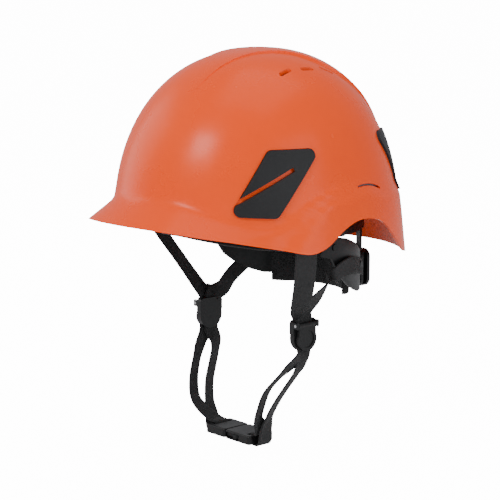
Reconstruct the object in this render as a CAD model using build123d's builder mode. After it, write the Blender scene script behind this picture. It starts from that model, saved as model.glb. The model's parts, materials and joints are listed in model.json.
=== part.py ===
from build123d import *
import math
import os

# Climbing-style arborist helmet. Millimetres. +Z up, the front looks along -Y, the wearer's left is +X.
# The origin is on the plane of symmetry, where the shell is widest, level with the ear lobes of its rim.

# ---- shell -----------------------------------------------------------------------------------------
CROWN_Z = 165.0            # top of the shell
BASE_Z = 20.0              # level where the dome has its full plan
HALF_WIDTH = 107.0
FRONT_LENGTH = 130.0
REAR_LENGTH = 126.0
PLAN_POWER = 2.12          # 2 is an ellipse, more is squarer
FRONT_POWER = 2.17         # the same for the profile, from base to crown
SIDE_POWER = 2.43
REAR_POWER = 2.08
SHELL_WALL = 2.7
SECTION_POINTS = 72
CROWN_BAND_RISE = 1.7
CROWN_BAND_SHIFT = 1.7     # rearwards, so that the band fades out at the front
LINER_GAP = 0.6
LINER_THICKNESS = 12.0
SECTION_FLOOR = -22.0      # the shell's sections start below the rim, which is cut from them

# Angle round the helmet from the front in degrees, against a height or a width.
CREASE_HEIGHT = [(0, 47), (16, 45.5), (30, 37.5), (40, 31), (50, 27.5), (57, 29.5), (66, 43),
                 (73, 51), (80, 56), (90, 58.5), (105, 56), (120, 51), (180, 50)]
BELT_HEIGHT = [(0, -30), (52, -20), (58, 8), (66, 24), (72, 38), (80, 47.5), (92, 51), (104, 51),
               (120, 46), (180, 45)]
FLARE_WIDTH = [(0, 24), (25, 22), (45, 14), (60, 8), (70, 6), (90, 4), (120, 4), (147, 6.5), (180, 8)]
FLARE_DROP = [(0, 16), (45, 16), (60, 25), (90, 30), (120, 52), (180, 60)]
CREASE_STEP = [(0, 0), (30, 0.6), (50, 1.6), (180, 1.4)]
BELT_STEP = [(0, 0), (52, 0), (60, 1.7), (180, 1.5)]
RIM_SIDE_VIEW = [(-175, 30.5), (-154, 28.7), (-141, 26.4), (-125, 22.9), (-105, 19), (-92, 16.2),
                 (-76, 12.8), (-60, 9.2), (-45, 6.5), (-35, 8.2), (-24.5, 12.9), (-12.4, 20.4),
                 (0, 26.2), (13, 29.1), (27, 28.3), (42, 24.4), (59.5, 13.7), (78, -1.1),
                 (92, -9), (108, -12.5), (150, -13)]

# ---- lamp clips ------------------------------------------------------------------------------------
CLIP_PROUD = 1.9
CLIP_RECESS = 1.1
CLIP_CORNERS = [(-42, 38), (-9, 89.5), (36, 89.5), (-2, 35.5)]
CLIP_CORNER_RADIUS = 5.5
CLIP_SLOT = [(-60, 36), (12, 74)]
CLIP_SLOT_WIDTH = 3.4
CLIP_FRONT_ANGLE = 57.0
CLIP_REAR_ANGLE = 142.0
CLIP_REAR_LIFT = 7.0

# ---- vents -----------------------------------------------------------------------------------------
VENT_PLACES = [(57.5, -22, 8), (58.0, 2, 0), (56.0, 26, -10)]   # x, y, turn in degrees
VENT_LENGTH = 14.0
VENT_WIDTH = 3.6
REAR_SLOT = [(15, 56), (30, 56.6), (48, 51.8)]
REAR_SLOT_HEIGHT = 1.9

# ---- headband --------------------------------------------------------------------------------------
RING_HALF_WIDTH = 76.0
RING_HALF_LENGTH = 96.0
RING_CENTRE_Y = 1.0
BAND_WALL = 2.0
PAD_THICKNESS = 6.0
FRONT_BAND_VIEW = [(-100, 19), (-90, 16), (-73, 11), (-50, 6), (-20, 2), (1, -3), (24, -9), (24, 10),
                   (8, 16), (-25, 27), (-60, 40), (-82, 49), (-100, 51)]
BROW_PAD_VIEW = [(-110, 17), (-90, 14.5), (-73, 9.5), (-50, 5), (-30, 2.5), (-30, 24), (-60, 36),
                 (-80, 47), (-110, 49)]
REAR_BAND_VIEW = [(2, -6), (14, -9), (19, -16), (25, -25), (38, -35), (51, -41.5), (61, -45), (80, -46),
                  (80, -19), (68, -9), (55, -1), (36, 6), (15, 10), (2, 9)]

# ---- ratchet at the nape ---------------------------------------------------------------------------
KNOB_Z = -32.0
KNOB_RADIUS = 16.0
KNOB_FACE_Y = 101.5
KNOB_DEPTH = 11.5
SHAFT_RADIUS = 4.0
RUNNING_GAP = 0.05
GEAR_MODULE = 1.25
PINION_TEETH = 12
HOUSING_HALF_WIDTH = 34.0
HOUSING_BOTTOM = -49.0
HOUSING_TOP = -15.0
COVER_Y = 90.0
COVER_WALL = 2.8
CHANNEL_DEPTH = 4.8
BACK_WALL_Y = 101.2
RACK_WALL = 2.2
RACK_HEIGHT = 6.5
TOOTH_GAP = 0.3

# ---- straps ----------------------------------------------------------------------------------------
WEB_WIDTH = 19.0
WEB_WALL = 1.6
LOOP_WIDTH = 15.0
CROWN_STRAP_WALL = 1.4
CROWN_STRAP_WIDTH = 18.0
CROWN_STRAP_TOP = 136.0
CROWN_STRAP_FOOT = 38.0

# ---- side adjusters --------------------------------------------------------------------------------
ADJUSTER_X = 61.0
ADJUSTER_Y = -4.0
ADJUSTER_TOP = -60.0
ADJUSTER_BOTTOM = -88.0
ADJUSTER_HALF_WIDTH = 13.0
ADJUSTER_ROUND = 12.6      # its lower half
ADJUSTER_WALL = 5.0
LEVER_PIN_RADIUS = 1.25
LEVER_PIN_Z = -64.5
LEVER_RADIUS = 10.5
LEVER_DISC_Z = -76.8

# ---- chin buckle -----------------------------------------------------------------------------------
BUCKLE_Y = -22.0
BUCKLE_Z = -169.0
BUCKLE_HALF_WIDTH = 14.5
BUCKLE_HEIGHT = 8.0
BUCKLE_WALL = 1.6
BUCKLE_END = 29.0
BUCKLE_MOUTH = -3.0
PRONG_GAP = 0.35


def grade(table, index):
    """Slope of the smooth curve at one entry of a table, level at its ends and at its peaks."""
    if index in (0, len(table) - 1):
        return 0.0
    (x0, v0), (x1, v1), (x2, v2) = table[index - 1:index + 2]
    before = (v1 - v0) / (x1 - x0)
    after = (v2 - v1) / (x2 - x1)
    if before * after <= 0:
        return 0.0
    return 2 * before * after / (before + after)


def between(x, table):
    """Value at x on a smooth curve through the entries of a table, with no bumps of its own."""
    if x <= table[0][0]:
        return table[0][1]
    for index in range(len(table) - 1):
        (x0, v0), (x1, v1) = table[index], table[index + 1]
        if x <= x1:
            span = x1 - x0
            u = (x - x0) / span
            start, end = grade(table, index) * span, grade(table, index + 1) * span
            bend = (u ** 3 - 2 * u * u + u) * start + (u ** 3 - u * u) * end
            return v0 + (v1 - v0) * u * u * (3 - 2 * u) + bend
    return table[-1][1]


def step(u):
    """0 below zero, 1 above one, eased between."""
    u = min(max(u, 0.0), 1.0)
    return u * u * (3 - 2 * u)


def plan_radius(angle, inset):
    """Distance from the axis to the dome's full plan, at an angle from the front."""
    side = abs(math.sin(angle)) / (HALF_WIDTH - inset)
    length = FRONT_LENGTH if math.cos(angle) > 0 else REAR_LENGTH
    fore = abs(math.cos(angle)) / (length - inset)
    return (side ** PLAN_POWER + fore ** PLAN_POWER) ** (-1 / PLAN_POWER)


def dome_share(angle, z, inset):
    """Share of the plan radius that is left at height z."""
    fore = math.cos(angle) ** 2
    end = FRONT_POWER if math.cos(angle) > 0 else REAR_POWER
    power = SIDE_POWER + (end - SIDE_POWER) * fore
    u = min(max((z - BASE_Z) / (CROWN_Z - inset - BASE_Z), 0.0), 0.99999)
    return (1 - u ** power) ** (1 / power)


def flare(angle, z):
    """How far the visor and skirt stand out from the dome: a soft valley, then a slope, with two steps."""
    turn = math.degrees(abs(angle))
    below = (between(turn, CREASE_HEIGHT) - z) / between(turn, FLARE_DROP)
    below = min(below, 1.6)
    soft = 0.25
    slope = (math.sqrt(below * below + soft * soft) + below) / (math.sqrt(1 + soft * soft) + 1)
    ledge = 5.0
    crease = between(turn, CREASE_STEP) * step((between(turn, CREASE_HEIGHT) - z) / ledge)
    belt = between(turn, BELT_STEP) * step((between(turn, BELT_HEIGHT) - z) / ledge)
    return between(turn, FLARE_WIDTH) * slope + crease + belt


def shell_radius(angle, z, inset):
    """Radius of the shell's surface moved inwards by inset, which is negative for outwards."""
    if z > 2 * BASE_Z + CREASE_HEIGHT[0][1]:
        return plan_radius(angle, inset) * dome_share(angle, z, inset)
    here = flare(angle, z)
    lean = here - flare(angle, z + 1.0)
    wall = inset * min(math.sqrt(1 + lean * lean), 2.0)
    return plan_radius(angle, inset) * dome_share(angle, z, inset) + here - (wall - inset)


def section(z, inset, flared):
    """One level closed curve of the shell, on the current sketch's plane."""
    count = SECTION_POINTS
    points = []
    for index in range(count):
        angle = 2 * math.pi * index / count - math.pi
        if flared:
            radius = shell_radius(angle, z, inset)
        else:
            radius = plan_radius(angle, inset) * dome_share(angle, z, inset)
        points.append((radius * math.sin(angle), -radius * math.cos(angle)))
    steps = [index / count for index in range(count + 1)]
    return Edge.make_spline([Vector(x, y) for x, y in points], periodic=True, parameters=steps)


def levels(low, inset, spacing):
    """Heights of the sections: even up the wall, then even in radius over the crown."""
    wall_top = 68.0
    count = round((wall_top - low) / spacing)
    heights = [low + (wall_top - low) * index / count for index in range(count + 1)]
    span = CROWN_Z - inset - BASE_Z
    for share in (0.86, 0.79, 0.71, 0.62, 0.52, 0.42, 0.32, 0.22, 0.13, 0.06, 0.03):
        heights.append(BASE_Z + span * (1 - share ** SIDE_POWER) ** (1 / SIDE_POWER))
    return heights


def shell_form(low, inset, flared=True, spacing=4.0):
    """The solid inside the shell's surface moved inwards by inset."""
    with BuildPart() as form:
        for z in levels(low, inset, spacing):
            with BuildSketch(Plane.XY.offset(z)):
                with BuildLine():
                    add(section(z, inset, flared))
                make_face()
        loft()
    return form.part


def side_prism(outline, x_from, x_to, smooth=False):
    """A side view outline of y and z, carried along x."""
    with BuildPart() as prism:
        with BuildSketch(Plane.YZ.offset(x_from)):
            with BuildLine():
                if smooth:
                    curve = Spline(*outline)
                    Polyline(outline[-1], (outline[-1][0], -90), (outline[0][0], -90), outline[0])
                else:
                    Polyline(*outline, close=True)
            make_face()
        extrude(amount=x_to - x_from)
    return prism.part


def radial_plane(turn):
    """A plane whose first axis runs level round the helmet, its second up, and its normal outwards."""
    angle = math.radians(turn)
    outward = (math.sin(angle), -math.cos(angle), 0)
    along = (math.cos(angle), math.sin(angle), 0)
    return Plane(origin=(0, 0, 0), x_dir=along, z_dir=outward)


def clip_prism(turn, flip, lift, grow=0.0, slotted=True):
    """The lamp clip's outline carried outwards from the axis."""
    corners = [(flip * s, z + lift) for s, z in CLIP_CORNERS]
    slot = [(flip * s, z + lift) for s, z in CLIP_SLOT]
    with BuildPart() as prism:
        with BuildSketch(radial_plane(turn)) as face:
            with BuildLine():
                Polyline(*corners, close=True)
            make_face()
            fillet(face.vertices(), CLIP_CORNER_RADIUS)
            if grow:
                offset(amount=grow)
            if slotted:
                with BuildLine():
                    Polyline(*slot)
                trace(line_width=CLIP_SLOT_WIDTH, mode=Mode.SUBTRACT)
        extrude(amount=200)
    return prism.part


def ring_wall(inner, outer, low, high):
    """Part of the headband ring, between two offsets from its outer face."""
    with BuildPart() as wall:
        with BuildSketch(Plane.XY.offset(low)):
            with Locations((0, RING_CENTRE_Y)):
                Ellipse(RING_HALF_WIDTH + outer, RING_HALF_LENGTH + outer)
                Ellipse(RING_HALF_WIDTH + inner, RING_HALF_LENGTH + inner, mode=Mode.SUBTRACT)
        extrude(amount=high - low)
    return wall.part


def block(x0, x1, y0, y1, z0, z1):
    """A plain box between its limits, for cutting and keeping."""
    middle = Pos((x0 + x1) / 2, (y0 + y1) / 2, (z0 + z1) / 2)
    return middle * Box(abs(x1 - x0), abs(y1 - y0), abs(z1 - z0), mode=Mode.PRIVATE)


def save(shape, name):
    shape.label = name
    export_step(shape, "parts/" + name + ".step")
    print(name, round(shape.volume / 1000, 2), "cm3", len(shape.solids()), "solid(s)")


# ---- shell and what is fixed to it -------------------------------------------------------------------
def clip_places():
    """Name, angle, which way the slot opens and lift of the four lamp clips."""
    return [("front_left", CLIP_FRONT_ANGLE, 1, 0.0),
            ("front_right", -CLIP_FRONT_ANGLE, -1, 0.0),
            ("rear_left", CLIP_REAR_ANGLE, -1, CLIP_REAR_LIFT),
            ("rear_right", -CLIP_REAR_ANGLE, 1, CLIP_REAR_LIFT)]


def vent_cutter(grow):
    """Three slots each side of the crown, as one cutter."""
    with BuildPart() as cutter:
        with BuildSketch(Plane.XY.offset(100)):
            for side in (1, -1):
                for x, y, turn in VENT_PLACES:
                    with Locations(Location((side * x, y), 90 + side * turn)):
                        SlotOverall(VENT_LENGTH + grow, VENT_WIDTH + grow)
        extrude(amount=100)
    return cutter.part


def rear_slot_cutter():
    """The thin curved slot in each rear side of the shell."""
    low = [(y, z - REAR_SLOT_HEIGHT) for y, z in REAR_SLOT]
    with BuildPart() as cutter:
        with BuildSketch(Plane.YZ.offset(-150)):
            with BuildLine():
                ThreePointArc(*REAR_SLOT)
                Line(REAR_SLOT[2], low[2])
                ThreePointArc(*low)
                Line(low[0], REAR_SLOT[0])
            make_face()
        extrude(amount=300)
    return cutter.part


def crown_band_prism():
    """Plan of the raised band over the crown, wider to the rear."""
    side = [(17, -122), (17, -60), (19.5, -30), (25, -6), (35, 12), (45, 26), (52, 46), (54, 70)]
    with BuildPart() as prism:
        with BuildSketch(Plane.XY.offset(60)):
            with BuildLine():
                Spline(*side)
                Polyline(side[-1], (44, 116), (-44, 116), (-side[-1][0], side[-1][1]))
                Spline(*[(-x, y) for x, y in side])
                Line((-side[0][0], side[0][1]), side[0])
            make_face()
        extrude(amount=140)
    return prism.part


def make_shell():
    outside = shell_form(SECTION_FLOOR, 0.0)
    raised = Pos(0, CROWN_BAND_SHIFT, CROWN_BAND_RISE) * shell_form(60, 0.0)
    crown_band = raised & crown_band_prism()
    recess_floor = shell_form(BASE_Z, CLIP_RECESS)
    cutters = []
    for _, turn, flip, lift in clip_places():
        cutters.append(clip_prism(turn, flip, lift, grow=0.35, slotted=False) - recess_floor)
    cutters.append(shell_form(SECTION_FLOOR, SHELL_WALL))
    cutters.append(side_prism(RIM_SIDE_VIEW, -200, 200, smooth=True))
    cutters.append(vent_cutter(0.0))
    cutters.append(rear_slot_cutter())
    with BuildPart() as shell:
        add(outside)
        add(crown_band)
        for cutter in cutters:
            add(cutter, mode=Mode.SUBTRACT)
    save(shell.part, "shell")


def make_lamp_clips():
    proud = shell_form(BASE_Z, -CLIP_PROUD)
    floor = shell_form(BASE_Z, CLIP_RECESS - 0.05)
    with BuildPart() as skin:
        add(proud)
        add(floor, mode=Mode.SUBTRACT)
    for name, turn, flip, lift in clip_places():
        outline = clip_prism(turn, flip, lift)
        with BuildPart() as clip:
            add(skin.part)
            add(outline, mode=Mode.INTERSECT)
        save(clip.part, "lamp_clip_" + name)


def make_liner():
    """Impact foam under the crown, with a sloping lower edge and channels under the vents."""
    inset = SHELL_WALL + LINER_GAP
    outside = shell_form(BASE_Z, inset, flared=False, spacing=6.0)
    hollow = shell_form(BASE_Z, inset + LINER_THICKNESS, flared=False, spacing=6.0)
    lower_edge = side_prism([(-160, 58), (-60, 53), (20, 48), (160, 42)], -200, 200, smooth=True)
    channels = vent_cutter(3.0)
    with BuildPart() as liner:
        add(outside)
        for cutter in (hollow, lower_edge, channels):
            add(cutter, mode=Mode.SUBTRACT)
    save(liner.part, "foam_liner")


# ---- headband ----------------------------------------------------------------------------------------
def make_front_band():
    ring = ring_wall(-BAND_WALL, 0, -60, 70)
    view = side_prism(FRONT_BAND_VIEW, -120, 120)
    save(ring & view, "front_headband")


def make_brow_pad():
    gap = 0.4
    outer = -BAND_WALL - gap
    ring = ring_wall(outer - PAD_THICKNESS, outer, -60, 70)
    view = side_prism(BROW_PAD_VIEW, -120, 120)
    save(ring & view, "brow_pad")


def make_rear_bands():
    for name, side in (("left", 1), ("right", -1)):
        x_from = 0 if side > 0 else -120
        ring = ring_wall(0.1, 0.1 + BAND_WALL, -60, 40)
        view = side_prism(REAR_BAND_VIEW, x_from, x_from + 120)
        save(ring & view, "rear_band_" + name)


def make_band_studs():
    """Studs that join the front band to the two rear bands."""
    with BuildPart() as studs:
        for side in (1, -1):
            for y, z in ((6, 3), (18, 0.5)):
                reach = RING_HALF_WIDTH * math.sqrt(1 - ((y - RING_CENTRE_Y) / RING_HALF_LENGTH) ** 2)
                face = Plane(origin=(side * (reach + BAND_WALL), y, z), z_dir=(side, 0, 0))
                with BuildSketch(face):
                    Circle(3.0)
                extrude(amount=1.3)
    save(studs.part, "band_studs")


def make_cradle_arms():
    """Arms that run from the shell's sides to the nape, turn down and carry the ratchet."""
    inner, outer = 3.0, 5.2
    for name, side in (("left", 1), ("right", -1)):
        ring = ring_wall(inner, outer, -60, 60)
        level_part = ring & block(side * 27, side * 110, 4, 120, 10, 23)
        hanging_part = ring & block(side * 27, side * 38, 60, 120, HOUSING_TOP + 0.1, 23)
        with BuildPart() as arm:
            add(level_part)
            add(hanging_part)
        save(arm.part, "cradle_arm_" + name)


def make_arm_anchors():
    """Blocks that hold the front ends of the cradle arms to the shell."""
    for name, side in (("left", 1), ("right", -1)):
        inner = side * (RING_HALF_WIDTH + 5.4)
        arm_seat = block(inner, inner + side * 4, 5, 21, 11, 44)
        wall_seat = block(inner, side * 103.4, 5, 21, 33, 44)
        with BuildPart() as anchor:
            add(arm_seat)
            add(wall_seat)
        save(anchor.part, "arm_anchor_" + name)


# ---- ratchet -----------------------------------------------------------------------------------------
def rear_plane(y):
    """Seen from behind: first axis to the wearer's left, second up, normal to the front."""
    return Plane(origin=(0, y, 0), x_dir=(1, 0, 0), z_dir=(0, -1, 0))


def housing_outline(y, depth):
    """The ratchet's rounded outline, carried forwards from the plane at y."""
    with BuildPart() as body:
        with BuildSketch(rear_plane(y)):
            with Locations((0, (HOUSING_TOP + HOUSING_BOTTOM) / 2)):
                RectangleRounded(2 * HOUSING_HALF_WIDTH + 8, HOUSING_TOP - HOUSING_BOTTOM, 7)
        extrude(amount=depth)
    return body.part


def make_housing():
    channel_front = COVER_Y + COVER_WALL
    span = PINION_TEETH * GEAR_MODULE / 2 + RACK_HEIGHT + 0.4
    outline = housing_outline(BACK_WALL_Y, BACK_WALL_Y - channel_front - 0.1)
    channel = block(-60, 60, channel_front - 1, channel_front + CHANNEL_DEPTH, KNOB_Z - span, KNOB_Z + span)
    with BuildPart() as housing:
        add(outline)
        add(channel, mode=Mode.SUBTRACT)
        with BuildSketch(rear_plane(BACK_WALL_Y + 1)):
            with Locations((0, KNOB_Z)):
                Circle(SHAFT_RADIUS + RUNNING_GAP)
        extrude(amount=12, mode=Mode.SUBTRACT)
    save(housing.part, "ratchet_housing")
    save(housing_outline(COVER_Y + COVER_WALL, COVER_WALL), "ratchet_cover")


def make_knob():
    grips = 14
    with BuildPart() as knob:
        with BuildSketch(rear_plane(KNOB_FACE_Y + KNOB_DEPTH)):
            with Locations((0, KNOB_Z)):
                Circle(KNOB_RADIUS)
        extrude(amount=KNOB_DEPTH)
        fillet(knob.edges().filter_by(GeomType.CIRCLE).sort_by(Axis.Y)[-1], 2.5)
        with BuildSketch(rear_plane(KNOB_FACE_Y + KNOB_DEPTH + 1)):
            with Locations((0, KNOB_Z)):
                with PolarLocations(KNOB_RADIUS + 1.2, grips):
                    Circle(2.4)
        extrude(amount=KNOB_DEPTH - 1.5, mode=Mode.SUBTRACT)
        with BuildSketch(rear_plane(KNOB_FACE_Y + KNOB_DEPTH + 1)):
            with Locations((0, KNOB_Z)):
                Circle(9.0)
        extrude(amount=2.2, mode=Mode.SUBTRACT)
        with BuildSketch(rear_plane(KNOB_FACE_Y)):
            with Locations((0, KNOB_Z)):
                Circle(SHAFT_RADIUS)
        extrude(amount=KNOB_FACE_Y - COVER_Y - COVER_WALL - 0.3)
    save(knob.part, "ratchet_knob")


def gear_outline(radius_out, radius_root, teeth, thin):
    """Corner points of a small gear with straight-sided teeth."""
    points = []
    pitch = 2 * math.pi / teeth
    pitch_radius = PINION_TEETH * GEAR_MODULE / 2
    for index in range(teeth):
        middle = math.pi / 2 + index * pitch
        root_half = (pitch * pitch_radius / 2 + 0.9 - thin) / 2 / radius_root
        tip_half = (pitch * pitch_radius / 2 - 0.9 - thin) / 2 / radius_out
        for turn, radius in ((-root_half, radius_root), (-tip_half, radius_out),
                             (tip_half, radius_out), (root_half, radius_root)):
            points.append((radius * math.cos(middle + turn), radius * math.sin(middle + turn)))
    return points


def make_pinion():
    pitch_radius = PINION_TEETH * GEAR_MODULE / 2
    outline = gear_outline(pitch_radius + 0.95, pitch_radius - 1.35, PINION_TEETH, TOOTH_GAP)
    front = COVER_Y + COVER_WALL + 0.5
    depth = CHANNEL_DEPTH - 1.0
    with BuildPart() as pinion:
        with BuildSketch(rear_plane(front + depth)):
            with Locations((0, KNOB_Z)):
                with BuildLine(mode=Mode.PRIVATE) as teeth:
                    Polyline(*outline, close=True)
                add(make_face(teeth.edges(), mode=Mode.PRIVATE))
                Circle(SHAFT_RADIUS, mode=Mode.SUBTRACT)
        extrude(amount=depth)
    save(pinion.part, "ratchet_pinion")


def make_racks():
    """Two toothed band ends, one above and one below the pinion."""
    pitch = math.pi * GEAR_MODULE
    pitch_radius = PINION_TEETH * GEAR_MODULE / 2
    addendum, root = 0.95, 1.35
    y = COVER_Y + COVER_WALL + (CHANNEL_DEPTH + RACK_WALL) / 2
    for name, side in (("left", 1), ("right", -1)):
        count = 11
        start = -5.5 * pitch * side
        points = []
        for index in range(count):
            middle = start + side * (index + 0.5 + 0.5) * pitch
            root_half = pitch / 4 + 0.45 - TOOTH_GAP / 2
            tip_half = pitch / 4 - 0.45 - TOOTH_GAP / 2
            for shift, height in ((-root_half, root), (-tip_half, -addendum),
                                  (tip_half, -addendum), (root_half, root)):
                points.append((middle + side * shift, pitch_radius + height))
        tail = side * (HOUSING_HALF_WIDTH + 1)
        points += [(tail, pitch_radius + root), (tail, pitch_radius + root + RACK_HEIGHT - 1.5),
                   (start, pitch_radius + root + RACK_HEIGHT - 1.5), (start, pitch_radius + root)]
        outline = [(x, KNOB_Z + side * z) for x, z in points]
        with BuildPart() as rack:
            with BuildSketch(rear_plane(y)):
                with BuildLine():
                    Polyline(*outline, close=True)
                make_face()
            extrude(amount=RACK_WALL)
        save(rack.part, "band_rack_" + name)


def make_nape_pad():
    """A wide pad between the ratchet and the neck, a little taller than the ratchet."""
    half_width = 46
    ring = ring_wall(-13.5, -7.5, HOUSING_BOTTOM - 10, HOUSING_TOP)
    save(ring & block(-half_width, half_width, 40, 120, HOUSING_BOTTOM - 3, HOUSING_TOP - 1), "nape_pad")


# ---- crown straps ------------------------------------------------------------------------------------
def crown_strap_ends():
    """Angle from the front and foot radius of the six strap ends."""
    return [(0, 99.5), (60, 87.0), (120, 89.0), (180, 105.0), (240, 89.0), (300, 87.0)]


def make_crown_straps():
    rise = CROWN_STRAP_TOP - CROWN_STRAP_FOOT
    hub = 12.0
    with BuildPart() as straps:
        with BuildSketch(Plane.XY.offset(CROWN_STRAP_TOP - CROWN_STRAP_WALL - 1.5)):
            Circle(hub + 7)
        extrude(amount=CROWN_STRAP_WALL + 2.1)
        for turn, reach in crown_strap_ends():
            angle = math.radians(turn)
            outward = (math.sin(angle), -math.cos(angle), 0)
            side = (math.cos(angle), math.sin(angle), 0)
            face = Plane(origin=tuple(-CROWN_STRAP_WIDTH / 2 * c for c in side), x_dir=outward, z_dir=(
                -side[0], -side[1], 0))
            with BuildSketch(face):
                with Locations((0, CROWN_STRAP_FOOT)):
                    Ellipse(reach, rise)
                    Ellipse(reach - CROWN_STRAP_WALL, rise - CROWN_STRAP_WALL, mode=Mode.SUBTRACT)
                with Locations((hub + reach, CROWN_STRAP_FOOT + rise)):
                    Rectangle(2 * reach, 2 * rise, mode=Mode.INTERSECT)
            extrude(amount=-CROWN_STRAP_WIDTH)
    save(straps.part, "crown_straps")


def make_crown_keys():
    """Six plastic keys that hold the strap ends to the shell's wall."""
    shell_inside = shell_form(SECTION_FLOOR, SHELL_WALL + 0.15)
    with BuildPart() as keys:
        for turn, reach in crown_strap_ends():
            with BuildSketch(radial_plane(turn).offset(reach - CROWN_STRAP_WALL)):
                with Locations((0, CROWN_STRAP_FOOT - 6)):
                    RectangleRounded(CROWN_STRAP_WIDTH + 4, 11.6, 2)
            extrude(amount=3.5)
            with BuildSketch(radial_plane(turn).offset(reach)):
                with Locations((0, CROWN_STRAP_FOOT - 5)):
                    Rectangle(CROWN_STRAP_WIDTH - 4, 6)
            extrude(amount=40)
        add(shell_inside, mode=Mode.INTERSECT)
    save(keys.part, "crown_keys")


# ---- chin straps -------------------------------------------------------------------------------------
def ribbon(route, width, wall):
    """Flat webbing along a route of points, each with the direction across the webbing.

    Between its ends the webbing is cut square to its route. An end edge lies along its own direction.
    """
    faces = []
    last = len(route) - 1
    for index, (point, across) in enumerate(route):
        forward = (Vector(route[min(index + 1, last)][0]) - Vector(route[max(index - 1, 0)][0])).normalized()
        sideways = Vector(across).normalized()
        if index in (0, last):
            forward = (forward - sideways * forward.dot(sideways)).normalized()
        else:
            sideways = (sideways - forward * sideways.dot(forward)).normalized()
        faces.append(Plane(origin=point, x_dir=sideways, z_dir=forward))
    with BuildPart() as web:
        for plane in faces:
            with BuildSketch(plane):
                Rectangle(width, wall)
        loft(ruled=True)
    return web.part


def mirrored(route):
    return [((-x, y, z), (-ax, ay, az)) for (x, y, z), (ax, ay, az) in route]


STRAP_GAP = 0.15            # between the ends of the webbing and the adjusters
LOOP_GAP = 0.9             # the same below, where the right loops come away with the plug
OUTER_LAYER = ADJUSTER_X + 1.5
INNER_LAYER = ADJUSTER_X - 1.5
STRAP_END = ADJUSTER_TOP + STRAP_GAP
LOOP_START = ADJUSTER_BOTTOM - LOOP_GAP
LEAD = 3.0                 # straight length of webbing at each adjuster

FRONT_STRAP = [((98.6, -38, 22), (0.3, 1, 0)), ((97.6, -35, 6), (0.3, 1, -0.05)),
               ((80.5, -21, -26), (0.3, 1, -0.1)), ((66, -11, -50), (0.2, 1, -0.1)),
               ((OUTER_LAYER, -6, STRAP_END + LEAD), (0, 1, 0)),
               ((OUTER_LAYER, -6, STRAP_END), (0, 1, 0))]
REAR_STRAP_LEFT = [((65.9, 60.8, -22), (-0.4, 0.3, 0.9)), ((74.8, 42.4, -17.5), (-0.2, 0.2, 0.9)),
                   ((79.6, 22.2, -19.5), (0, 0.5, 0.9)), ((79.6, 8, -28), (0, 0.8, 0.6)),
                   ((68, 1, -46), (0.1, 1, 0.1)), ((INNER_LAYER, -2, STRAP_END + LEAD), (0, 1, 0)),
                   ((INNER_LAYER, -2, STRAP_END), (0, 1, 0))]
REAR_STRAP_RIGHT = [((-65.9, 60.8, -22), (-0.3, -0.6, 0.8)), ((-72.8, 50.8, -34), (-0.1, -0.6, 0.8)),
                    ((-74.5, 34, -46), (-0.1, -0.6, 0.8)), ((-64, 14, -54), (0, -0.9, 0.6)),
                    ((-INNER_LAYER, -1, STRAP_END + LEAD), (0, -1, 0)),
                    ((-INNER_LAYER, -1, STRAP_END), (0, -1, 0))]
LEVEL = (0, 1, 0)
TURNED = (-0.38, 0.92, 0)
OUTER_LOOP_LEFT = [((OUTER_LAYER, -6, LOOP_START), LEVEL), ((OUTER_LAYER, -6.5, LOOP_START - LEAD), LEVEL),
                   ((60, -17, -100), (-0.15, 1, 0)), ((54.5, -26, -110), TURNED), ((47, -32, -122), TURNED),
                   ((41.5, -34, -137), TURNED), ((37, -33, -149), TURNED), ((34.5, -28, -157), (-0.1, 1, 0)),
                   ((31, -23.5, -163), LEVEL), ((25, -22, -164.1), LEVEL)]
INNER_LOOP_LEFT = [((INNER_LAYER, -2, LOOP_START), LEVEL), ((INNER_LAYER, -2.3, LOOP_START - LEAD), LEVEL),
                   ((59.5, -4, -99), (-0.15, 1, 0)), ((57.5, -9, -109), TURNED), ((53, -16, -121), TURNED),
                   ((47.5, -21, -133), TURNED), ((42.5, -25, -146), TURNED), ((38, -25, -159), (-0.1, 1, 0)),
                   ((34.5, -22.5, -169), LEVEL), ((31, -22, -173.8), LEVEL), ((25, -22, -174), LEVEL)]
OUTER_LOOP_RIGHT = [((-OUTER_LAYER, -6, LOOP_START), LEVEL), ((-OUTER_LAYER, -6.5, LOOP_START - LEAD), LEVEL),
                    ((-64, -12, -101), (-0.2, 1, 0)), ((-63.5, -18, -117), TURNED), ((-60, -24, -133), TURNED),
                    ((-53, -28, -147), TURNED), ((-43, -27, -156), (-0.15, 1, 0)), ((-35, -24, -161.5), LEVEL),
                    ((-31, -22.5, -163.7), LEVEL), ((-25, -22, -164.1), LEVEL)]
INNER_LOOP_RIGHT = [((-INNER_LAYER, -2, LOOP_START), LEVEL), ((-INNER_LAYER, -1.7, LOOP_START - LEAD), LEVEL),
                    ((-60.5, 2.5, -99), (-0.2, 1, 0)), ((-59.5, 1, -110), TURNED), ((-57.5, -4, -122), TURNED),
                    ((-54.5, -10, -135), TURNED), ((-50, -14, -150), TURNED), ((-43, -17, -163), (-0.1, 1, 0)),
                    ((-36.5, -21, -171.5), LEVEL), ((-31, -22, -173.9), LEVEL), ((-25, -22, -174), LEVEL)]


def make_straps():
    save(ribbon(FRONT_STRAP, WEB_WIDTH, WEB_WALL), "front_strap_left")
    save(ribbon(mirrored(FRONT_STRAP), WEB_WIDTH, WEB_WALL), "front_strap_right")
    save(ribbon(REAR_STRAP_LEFT, LOOP_WIDTH, WEB_WALL), "rear_strap_left")
    save(ribbon(REAR_STRAP_RIGHT, LOOP_WIDTH, WEB_WALL), "rear_strap_right")
    save(ribbon(OUTER_LOOP_LEFT, LOOP_WIDTH, WEB_WALL), "outer_loop_left")
    save(ribbon(INNER_LOOP_LEFT, LOOP_WIDTH, WEB_WALL), "inner_loop_left")
    save(ribbon(OUTER_LOOP_RIGHT, LOOP_WIDTH, WEB_WALL), "outer_loop_right")
    save(ribbon(INNER_LOOP_RIGHT, LOOP_WIDTH, WEB_WALL), "inner_loop_right")


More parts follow.
